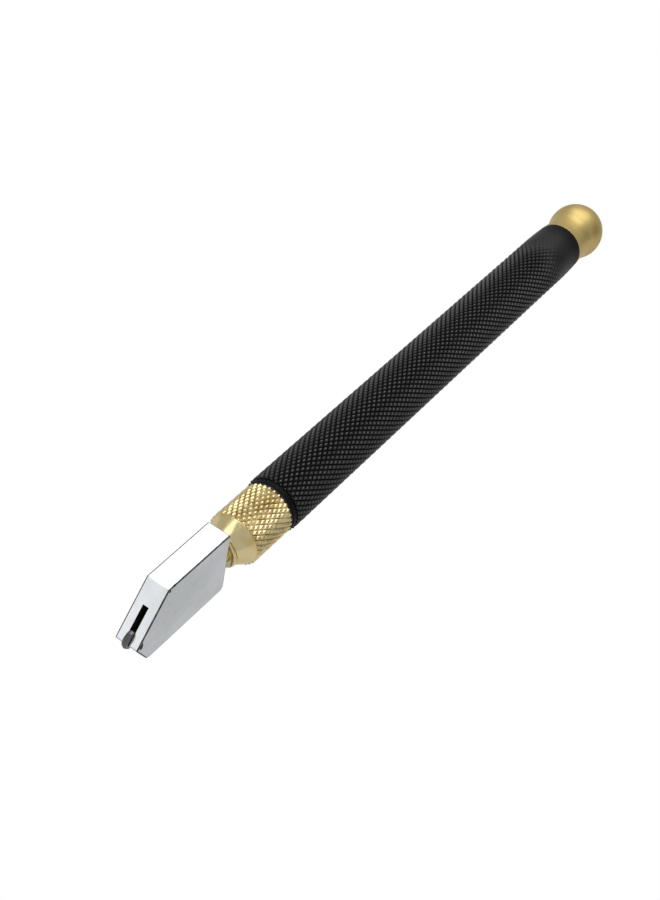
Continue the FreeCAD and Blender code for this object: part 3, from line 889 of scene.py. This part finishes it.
turn_on([(thread_rear, spigot_radius - thread_depth - 0.02 * MM)])
ring = join(ring, nose, shank, thread)
for place in (collar_front, collar_rear, thread_front, thread_rear):
    bridge(lambda e: abs(middle(e).x - place) < 0.002 * MM)
point_out(ring)
hole_x = collar_rear - 9.0 * MM
hole_radius = 1.0 * MM
ring.data.materials.append(brass)
cut_with(ring, cylinder_cutter(hole_radius, (hole_x, 0, -1.5 * MM), (hole_x, 0, -8.0 * MM)), brass)
finish_piece(ring, brass, "collar", "polished_brass", "nose_collar")

# %% [markdown]
# ## Ball end
# The ball screws into the barrel's tail and is the oil filler cap. It is turned in one piece with a
# thin rim, a short neck and a concave round that runs into the ball, and an O-ring sits in the groove
# of its thread. All of it is one profile, with an arc for the round and another for the ball.

# %% Ball end
ball_centre = cap_end - ball_radius
neck_radius = 5.85 * MM
neck_round = 5.0 * MM
cap_rim_radius = 6.0 * MM
reach = ball_radius + neck_round
neck_end = ball_centre - math.sqrt(reach**2 - (neck_radius + neck_round) ** 2)
lift = math.degrees(math.asin((neck_radius + neck_round) / reach))
seal_middle = sum(span("cap_seal")) / 2
seal_half = 0.445 * MM
seal_groove = 4.12 * MM
cap_thread_front = cap_front + 0.4 * MM
cap_thread_rear = seal_middle - seal_half - 0.5 * MM

cap = turned("end_ball", [
    (cap_thread_rear, spigot_radius - thread_depth - 0.05 * MM),
    (cap_thread_rear + 0.2 * MM, spigot_radius),
    (seal_middle - seal_half, spigot_radius),
    (seal_middle - seal_half, seal_groove),
    (seal_middle + seal_half, seal_groove),
    (seal_middle + seal_half, spigot_radius),
    (barrel_rear, spigot_radius),
    (barrel_rear, cap_rim_radius - edge_break),
    (barrel_rear + edge_break, cap_rim_radius),
    (barrel_rear + 0.5 * MM, cap_rim_radius),
    (barrel_rear + 0.8 * MM, neck_radius),
    *arc((neck_end, neck_radius + neck_round), neck_round, 270, 360 - lift, 8),
    *arc((ball_centre, 0), ball_radius, 180 - lift, 1.5, 44)[1:],
    (cap_end, 0.02 * MM),
])
close_pole()
print("the ball meets its neck", round(lift, 1), "degrees off the axis")
tip = turned("cap_tip", [
    (cap_thread_front, spigot_radius - thread_depth - 0.05 * MM),
    (cap_front, spigot_radius - thread_depth - 0.30 * MM),
    (cap_front, 0.02 * MM),
])
close_pole()
thread = threaded_skin("cap_thread", cap_thread_front, cap_thread_rear, spigot_radius, thread_depth)
cut_off(thread, cap_thread_front, -1)
turn_on([(cap_thread_front, spigot_radius - thread_depth - 0.02 * MM)])
cut_off(thread, cap_thread_rear, 1)
turn_on([(cap_thread_rear, spigot_radius - thread_depth - 0.02 * MM)])
cap = join(cap, tip, thread)
for place in (cap_thread_front, cap_thread_rear):
    bridge(lambda e: abs(middle(e).x - place) < 0.002 * MM)
finish_piece(cap, satin, "end_cap", "satin_brass", "end_cap")

# %% [markdown]
# ## Head
# The head starts as a bar and is cut as a machinist would: two planes take off the slanted face and
# the toe. The edges across the bar get their own rounds, then the long outline of both sides gets a
# small one, because a real edge always catches the light. The slot and the holes are booleans, which
# is how a saw and a drill work. Four small dents along the top edges come from years in a drawer.

# %% Head block
head_width = span("wheel_holder", 1)[1] * 2
head_height = axis_height * 2
tip_x = head_back - 26.07 * MM
tip_drop = 2.51 * MM
tip_z = axis_height - tip_drop
brow_x = head_back - 18.1 * MM
toe_x = head_back - 22.7 * MM
brow = Vector((brow_x, 0, head_height))
tip_corner = Vector((tip_x, 0, tip_z))
toe = Vector((toe_x, 0, 0))
face_up = (brow - tip_corner).normalized()
face_out = Vector((-face_up.z, 0, face_up.x))
toe_out = Vector(((toe - tip_corner).z, 0, -(toe - tip_corner).x)).normalized()

put_down()
middle_x = (tip_x + head_back) / 2
bpy.ops.mesh.primitive_cube_add(
    size=1, location=(middle_x, 0, axis_height), scale=(head_back - tip_x, head_width, head_height)
)
head = bpy.context.object
head.name = "head_block"
bpy.ops.object.transform_apply(location=True, rotation=True, scale=True)
take_up(head)
for corner, outward in ((brow, face_out), (toe, toe_out)):
    bpy.ops.mesh.select_all(action="SELECT")
    bpy.ops.mesh.bisect(plane_co=corner, plane_no=outward, clear_outer=True, use_fill=True, threshold=1e-7)
slant = (brow - tip_corner).length / MM
print("head cut to", len(head.data.polygons), "faces, slanted face", round(slant, 2), "mm long")


# %% Rounds of the head
def round_corner(corner, radius, before, after):
    """Rounds the edge across the bar at a corner of its outline, to a true radius."""
    opening = (before - corner).angle(after - corner)
    near = 0.01 * MM
    pick("EDGE", lambda e: all(math.hypot(v.co.x - corner.x, v.co.z - corner.z) < near for v in e.verts))
    tangent = radius / math.tan(opening / 2)
    bpy.ops.mesh.bevel(offset=tangent, offset_type="OFFSET", segments=8, profile=0.5, affect="EDGES")


shoulder = Vector((head_back, 0, head_height))
heel = Vector((head_back, 0, 0))
corners = [(shoulder, 0.5), (brow, 0.4), (tip_corner, 0.4), (toe, 1.4), (heel, 1.0)]
for i, (corner, radius) in enumerate(corners):
    round_corner(corner, radius * MM, corners[i - 1][0], corners[(i + 1) % 5][0])
head.data.materials.append(nickel)
# The rounds of the long outline get the second finish, which paints dark reflection lines.
head.data.materials.append(dark_edge_reflection)
near_side = head_width / 2 - 0.01 * MM
for sign, round_width in ((1, 0.32 * MM), (-1, 0.27 * MM)):
    pick("EDGE", lambda e: all(v.co.y * sign > near_side for v in e.verts))
    bpy.ops.mesh.bevel(
        offset=round_width, offset_type="OFFSET", segments=5, profile=0.5, affect="EDGES", material=1
    )
print("head rounded,", len(head.data.polygons), "faces")


# %% Cutting the slot and the holes
slot_width = 1.34 * MM
slot_depth = 3.2 * MM
slot_length = 8.2 * MM
overrun = 4.0 * MM
slot_middle = tip_corner + face_up * (slot_length - overrun) / 2 - face_out * (slot_depth - overrun) / 2
put_down()
tilt = math.atan2(face_up.x, face_up.z)
bpy.ops.mesh.primitive_cube_add(
    size=1, location=slot_middle, rotation=(0, tilt, 0),
    scale=(slot_depth + overrun, slot_width, slot_length + overrun),
)
slot_cutter = bpy.context.object
point_out(head)
# The slot, the holes and the axle hole get the near-black finish: painted shade.
cut_with(head, slot_cutter, recess_shade_black)
slot_floor_x = tip_x + (slot_depth + tip_drop * face_up.x) / face_up.z
holes = [
    (0.6 * MM, slot_floor_x - 1.2 * MM, head_back - 5.0 * MM),
    (1.6 * MM, head_back - 6.0 * MM, head_back + 1.0 * MM),
]
for radius, start, end in holes:
    drill = cylinder_cutter(radius, (start, 0, axis_height), (end, 0, axis_height))
    cut_with(head, drill, recess_shade_black)
axle_radius = 0.45 * MM
reach_out = head_width
axle_ends = [(wheel_middle.x, side_of * reach_out, wheel_middle.z) for side_of in (-1, 1)]
cut_with(head, cylinder_cutter(axle_radius, *axle_ends), recess_shade_black)
print("slot and", len(holes) + 1, "holes cut,", len(head.data.polygons), "faces")

# %% Dents along the top edges
dents = [
    ((head_back - 9.0 * MM, head_width / 2, head_height), 0.42),
    ((head_back - 15.4 * MM, head_width / 2, head_height), 0.34),
    ((head_back - 16.5 * MM, -head_width / 2, head_height), 0.38),
    ((head_back - 17.8 * MM, -head_width / 2, head_height - 0.56 * MM), 0.36),
]
# The dents get the near-black finish too: painted shade.
for place, size in dents:
    put_down()
    bpy.ops.mesh.primitive_ico_sphere_add(
        subdivisions=1, radius=size * MM, location=place, rotation=(0.4, 0.7, 0.2)
    )
    cut_with(head, bpy.context.object, recess_shade_black)
finish_piece(head, nickel, "head", "nickel_plate", "wheel_holder", sharp=35, place=(0, 0, 0))
apply_modifier(head, "WEIGHTED_NORMAL", keep_sharp=True, weight=80)

# %% [markdown]
# ## Wheel and axle
# The wheel is a disc with a fine V ground on its rim, and it runs on a plain pin. Both are turned about
# the X axis like everything else and then swung a quarter turn to lie across the head. The ends of the
# pin are punched, which spreads them and keeps the pin in its hole.

# %% Wheel and axle
wheel_radius = (wheel_high.x - wheel_low.x) / 2
wheel_half = (wheel_high.y - wheel_low.y) / 2
edge_drop = 0.23 * MM
bore = axle_radius + 0.03 * MM
flank = wheel_radius - edge_drop
wheel = turned("wheel", [
    (-wheel_half + 0.04 * MM, bore),
    (-wheel_half, bore + 0.04 * MM),
    (-wheel_half, flank - 0.06 * MM),
    (-wheel_half + 0.05 * MM, flank + 0.01 * MM),
    (-0.03 * MM, wheel_radius - 0.01 * MM),
    (0, wheel_radius),
    (0.03 * MM, wheel_radius - 0.01 * MM),
    (wheel_half - 0.05 * MM, flank + 0.01 * MM),
    (wheel_half, flank - 0.06 * MM),
    (wheel_half, bore + 0.04 * MM),
    (wheel_half - 0.04 * MM, bore),
    (-wheel_half + 0.04 * MM, bore),
])
finish_piece(
    wheel, hard_metal, "wheel", "carbide", "cutting_wheel", sharp=25, place=wheel_middle, turn=math.pi / 2
)
pin_half = span("axle_pin", 1)[1]
punch = 0.12 * MM
pin_profile = [
    (0.06 * MM, 0.02 * MM), (0, punch), (0, axle_radius - 0.1 * MM), (0.1 * MM, axle_radius - 0.01 * MM)
]
pin = turned("axle", [
    *[(x - pin_half, r) for x, r in pin_profile],
    *[(pin_half - x, r) for x, r in reversed(pin_profile)],
], around=48)
close_pole()
open_edge(0.06 * MM - pin_half, pin)
close_pole()
finish_piece(pin, pin_steel, "head", "steel", "axle_pin", place=wheel_middle, turn=math.pi / 2)

# %% [markdown]
# ## Spring
# A compression spring is wire wound on a helix, with both ends ground flat so that it stands square.
# A circle swept by the Screw modifier is the wire, and two square cuts are the grinding. The head
# presses the spring by 0.6 mm.

# %% Spring
spring_low, spring_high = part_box("valve_spring")
wire = 0.3 * MM
coil_radius = (spring_high.y - spring_low.y) / 2 - wire
coil_turns = 6
spring_pitch = (spring_high.x - spring_low.x) / (coil_turns - 0.5)
put_down()
bpy.ops.mesh.primitive_circle_add(
    vertices=12, radius=wire, location=(spring_low.x - spring_pitch / 4, 0, coil_radius),
    rotation=(math.pi / 2, 0, 0),
)
coil = bpy.context.object
coil.name = "coil_spring"
bpy.ops.object.transform_apply(location=True, rotation=True, scale=True)
apply_modifier(
    coil, "SCREW", axis="X", angle=2 * math.pi, screw_offset=spring_pitch,
    steps=40, render_steps=40, iterations=coil_turns,
)
take_up(coil)
bpy.ops.mesh.select_all(action="SELECT")
bpy.ops.mesh.remove_doubles(threshold=1e-6)
for x, outward in ((spring_low.x + 0.02 * MM, -1), (spring_high.x - 0.02 * MM, 1)):
    bpy.ops.mesh.select_all(action="SELECT")
    bpy.ops.mesh.bisect(
        plane_co=(x, 0, 0), plane_no=(outward, 0, 0), clear_outer=True, use_fill=True, threshold=1e-7
    )
finish_piece(coil, steel, "collar", "steel", "valve_spring")
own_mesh(coil)

# %% [markdown]
# ## The other CAD parts
# The seals, the stem, the washer, the plug, the grub screw and the wick already have their true shape
# in the CAD model, so they stay and only get their finish.

# %% Finishes of the parts that stay
kept = {
    "collar_gasket": rubber, "stem_seal": rubber, "valve_seal": rubber, "cap_seal": rubber,
    "head_stem": brass, "spring_plug": brass, "thrust_washer": steel, "lock_screw": steel,
    "oil_wick": cotton,
}
for name, finish in kept.items():
    nodes[name].material_slots[0].material = finish
print(len(kept), "CAD parts keep their shape")

# %% [markdown]
# ## Studio
# The table is a white light table: a floor that glows, so nothing on it throws a shadow. One large
# soft box hangs behind and above, and two weaker ones hang overhead and in front. Metal only shows
# what is around it, so the room is an even grey, and a dim card beside the ball shades its right side.

# %% Table and backdrop
def glow(name, color, strength):
    """A plain glow with no light or shade of its own."""
    finish = bpy.data.materials.new(name)
    finish.use_nodes = True
    tree = finish.node_tree
    tree.nodes.clear()
    light = tree.nodes.new("ShaderNodeEmission")
    light.inputs["Color"].default_value = (*color, 1)
    light.inputs["Strength"].default_value = strength
    output = tree.nodes.new("ShaderNodeOutputMaterial")
    tree.links.new(light.outputs[0], output.inputs["Surface"])
    return finish


put_down()
table_end = 0.15
table_glow = 0.62
bpy.ops.mesh.primitive_plane_add(size=1.6, location=(table_end - 0.8, 0, -0.3 * MM))
floor = bpy.context.object
floor.name = "floor"
floor.data.materials.append(glow("pale_table", (1, 1, 1), table_glow))
floor.visible_camera = False
put_down()
bpy.ops.mesh.primitive_uv_sphere_add(segments=48, ring_count=24, radius=4.0)
backdrop = bpy.context.object
backdrop.name = "backdrop"
backdrop.data.materials.append(glow("white_backdrop", (1, 1, 1), 1.0))
for ray in ("diffuse", "glossy", "transmission", "shadow", "volume_scatter"):
    setattr(backdrop, "visible_" + ray, False)


print("table glows at", table_glow, "and ends", table_end, "m behind the middle")


# %% Soft boxes
def soft_box(name, direction, distance, size, power):
    """A square area light that faces the middle of the tool from a direction."""
    put_down()
    place = Vector(direction).normalized() * distance
    turn = place.to_track_quat("Z", "Y").to_euler()
    bpy.ops.object.light_add(type="AREA", location=place, rotation=turn)
    light = bpy.context.object
    light.name = name
    light.data.shape = "SQUARE"
    light.data.size = size
    light.data.energy = power
    return light


soft_box("back_box", (0.41, 0.10, 0.90), 1.0, 0.95, 4.2)
soft_box("top_box", (-0.35, 0.38, 0.86), 1.0, 0.5, 0.9)
soft_box("front_box", (-0.84, 0.32, 0.44), 1.0, 0.6, 0.75)
print(len(bpy.data.lights), "soft boxes")

# %% Dim card and the room
card_glow = 0.2
room_glow = 0.5
put_down()
facing = (math.pi / 2, 0, math.radians(32))
bpy.ops.mesh.primitive_plane_add(size=1, location=(0.36, -0.44, 0.12), rotation=facing)
card = bpy.context.object
card.name = "grey_card"
card.scale = (0.40, 0.36, 1)
card.data.materials.append(glow("dim_grey_card", (1, 1, 1), card_glow))
card.visible_camera = False

world = bpy.data.worlds.new("studio")
bpy.context.scene.world = world
world.use_nodes = True
room = world.node_tree.nodes["Background"]
room.inputs["Color"].default_value = (1, 1, 1, 1)
room.inputs["Strength"].default_value = room_glow
print("staged", floor.name, backdrop.name, "and", card.name)
bpy.context.scene.view_settings.view_transform = "Standard"
